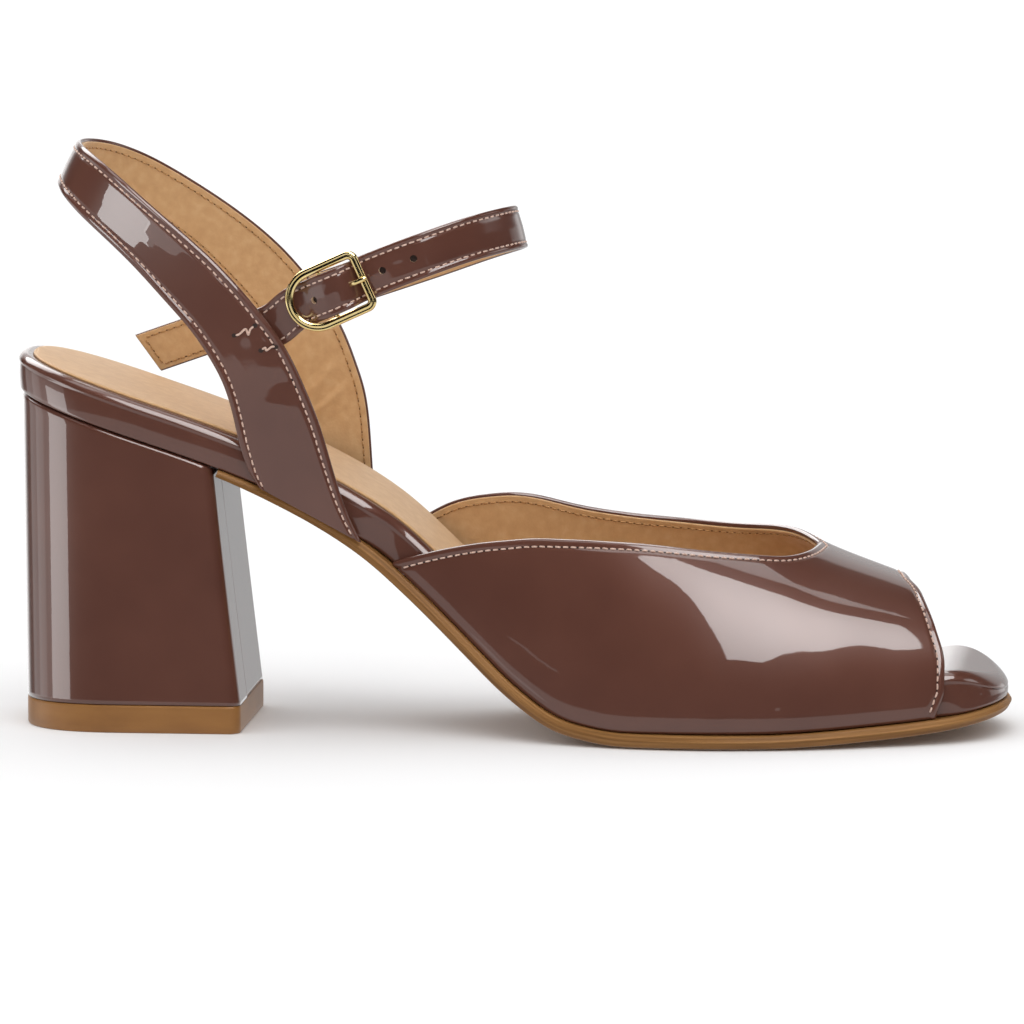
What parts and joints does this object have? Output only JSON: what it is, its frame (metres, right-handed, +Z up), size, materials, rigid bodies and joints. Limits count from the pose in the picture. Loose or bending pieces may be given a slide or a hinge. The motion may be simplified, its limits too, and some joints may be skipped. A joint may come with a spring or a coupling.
{
  "type": "peep toe pump",
  "caption": "Womens right open-waist peep toe pump in patent leather on a high block heel, with a heel strap and a buckled ankle strap.",
  "frame": {"origin": "centre of the heel's floor face", "axes": "+X from heel to toe, +Z up, -Y towards the outer side with the buckle"},
  "size_m": [0.2335, 0.0804, 0.1373],
  "materials": {
    "patent_leather": "brown patent leather, mirror gloss",
    "lining_leather": "tan lining leather, matt with a fine grain",
    "sole_leather": "tan sole leather, waxed edge",
    "tread_rubber": "tan heel tread piece, satin",
    "pale_gold": "pale gold plating, polished"
  },
  "bodies": {
    "root": {"outsole": "sole_leather", "footbed_platform": "patent_leather", "insole_sock": "lining_leather", "heel_block": "patent_leather", "heel_top_piece": "tread_rubber", "vamp": "patent_leather", "heel_strap": "patent_leather", "ankle_strap": "patent_leather", "buckle_frame": "pale_gold", "buckle_prong": "pale_gold"}
  },
  "joints": []
}
